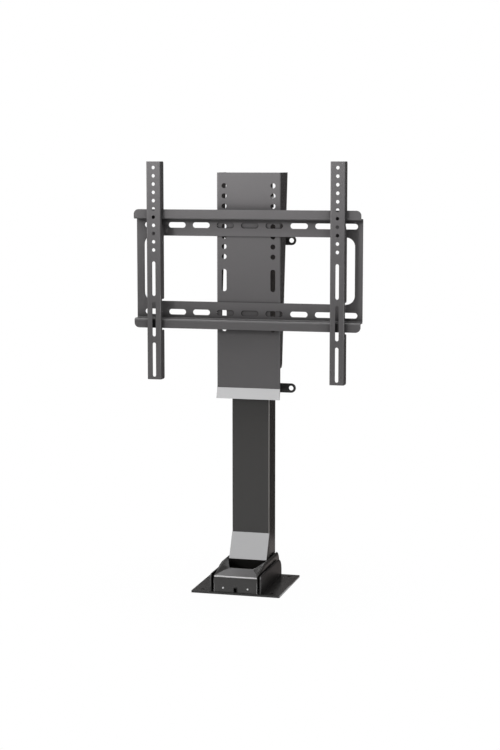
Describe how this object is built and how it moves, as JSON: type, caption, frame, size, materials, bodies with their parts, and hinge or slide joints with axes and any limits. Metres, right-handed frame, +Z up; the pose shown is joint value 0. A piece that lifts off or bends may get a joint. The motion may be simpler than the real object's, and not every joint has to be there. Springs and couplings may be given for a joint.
{
  "type": "motorised screen lift",
  "caption": "Motorised lift for raising a flat screen out of a cabinet: floor plate with cable boot, telescoping column, folded mount plate, slotted rail frame and sliding arms.",
  "frame": {"origin": "middle of the floor plate's underside, on the floor", "axes": "+Z up along the column, -Y towards the viewer of the screen, +X to that viewer's right"},
  "size_m": [0.462, 0.178, 0.8487],
  "materials": {
    "paint": "satin dark grey powder coat",
    "dark_paint": "satin black powder coat",
    "satin": "satin anodised",
    "black_plastic": "fine grain",
    "grey_plastic": "satin moulded",
    "zinc": "zinc plated",
    "bronze": "machined bronze",
    "board": "coated laminate"
  },
  "bodies": {
    "base": {"base_plate": "dark_paint", "foot_block": "zinc", "foot_bolts": "zinc", "outer_column": "dark_paint", "guide_collar": "black_plastic", "column_screws": "zinc", "tie_rods": "zinc", "rod_sleeves": "zinc", "drive_motor": "zinc", "gearbox": "dark_paint", "motor_plate": "zinc", "bearing_plate": "zinc", "thrust_bearing": "zinc", "foot_nose": "black_plastic", "nose_trim": "satin", "boot_cover": "grey_plastic", "boot_cheek_left": "black_plastic", "boot_cheek_right": "black_plastic", "boot_tabs": "zinc", "boot_screws": "zinc", "cheek_screws": "zinc", "cable_grommet": "black_plastic", "control_box": "black_plastic", "circuit_board": "board", "strap_upper": "dark_paint", "strap_lower": "dark_paint", "strap_screws": "zinc"},
    "lift": {"inner_column": "paint", "column_cap": "black_plastic", "head_bracket": "dark_paint", "head_bolts": "zinc", "mount_plate": "paint", "lip_trim": "satin", "rail_frame": "paint", "rail_studs": "zinc", "lower_glide": "black_plastic", "drive_nut": "bronze", "nut_screws": "zinc"},
    "screw": {"lead_screw": "zinc", "gear_shaft": "zinc", "shaft_coupling": "dark_paint", "screw_guide": "black_plastic"},
    "arm_left": {"arm_left": "paint", "arm_lock_left": "zinc", "lock_screws_left": "paint"},
    "arm_right": {"arm_right": "paint", "arm_lock_right": "zinc", "lock_screws_right": "paint"}
  },
  "joints": [
    {"name": "lift_slide", "type": "slide", "parent": "base", "child": "lift", "axis": [0, 0, 1], "range_m": [0, 0.5]},
    {"name": "screw_spin", "type": "hinge", "parent": "base", "child": "screw", "pos_m": [0, 0.06, 0.2], "axis": [0, 0, 1], "range_deg": [-20, 18020]},
    {"name": "arm_left_slide", "type": "slide", "parent": "lift", "child": "arm_left", "axis": [1, 0, 0], "range_m": [-0.015, 0.09]},
    {"name": "arm_right_slide", "type": "slide", "parent": "lift", "child": "arm_right", "axis": [-1, 0, 0], "range_m": [-0.015, 0.09]}
  ],
  "couplings": [
    {"joint": "screw_spin", "follows": "lift_slide", "rad_per_m": 628.32}
  ]
}
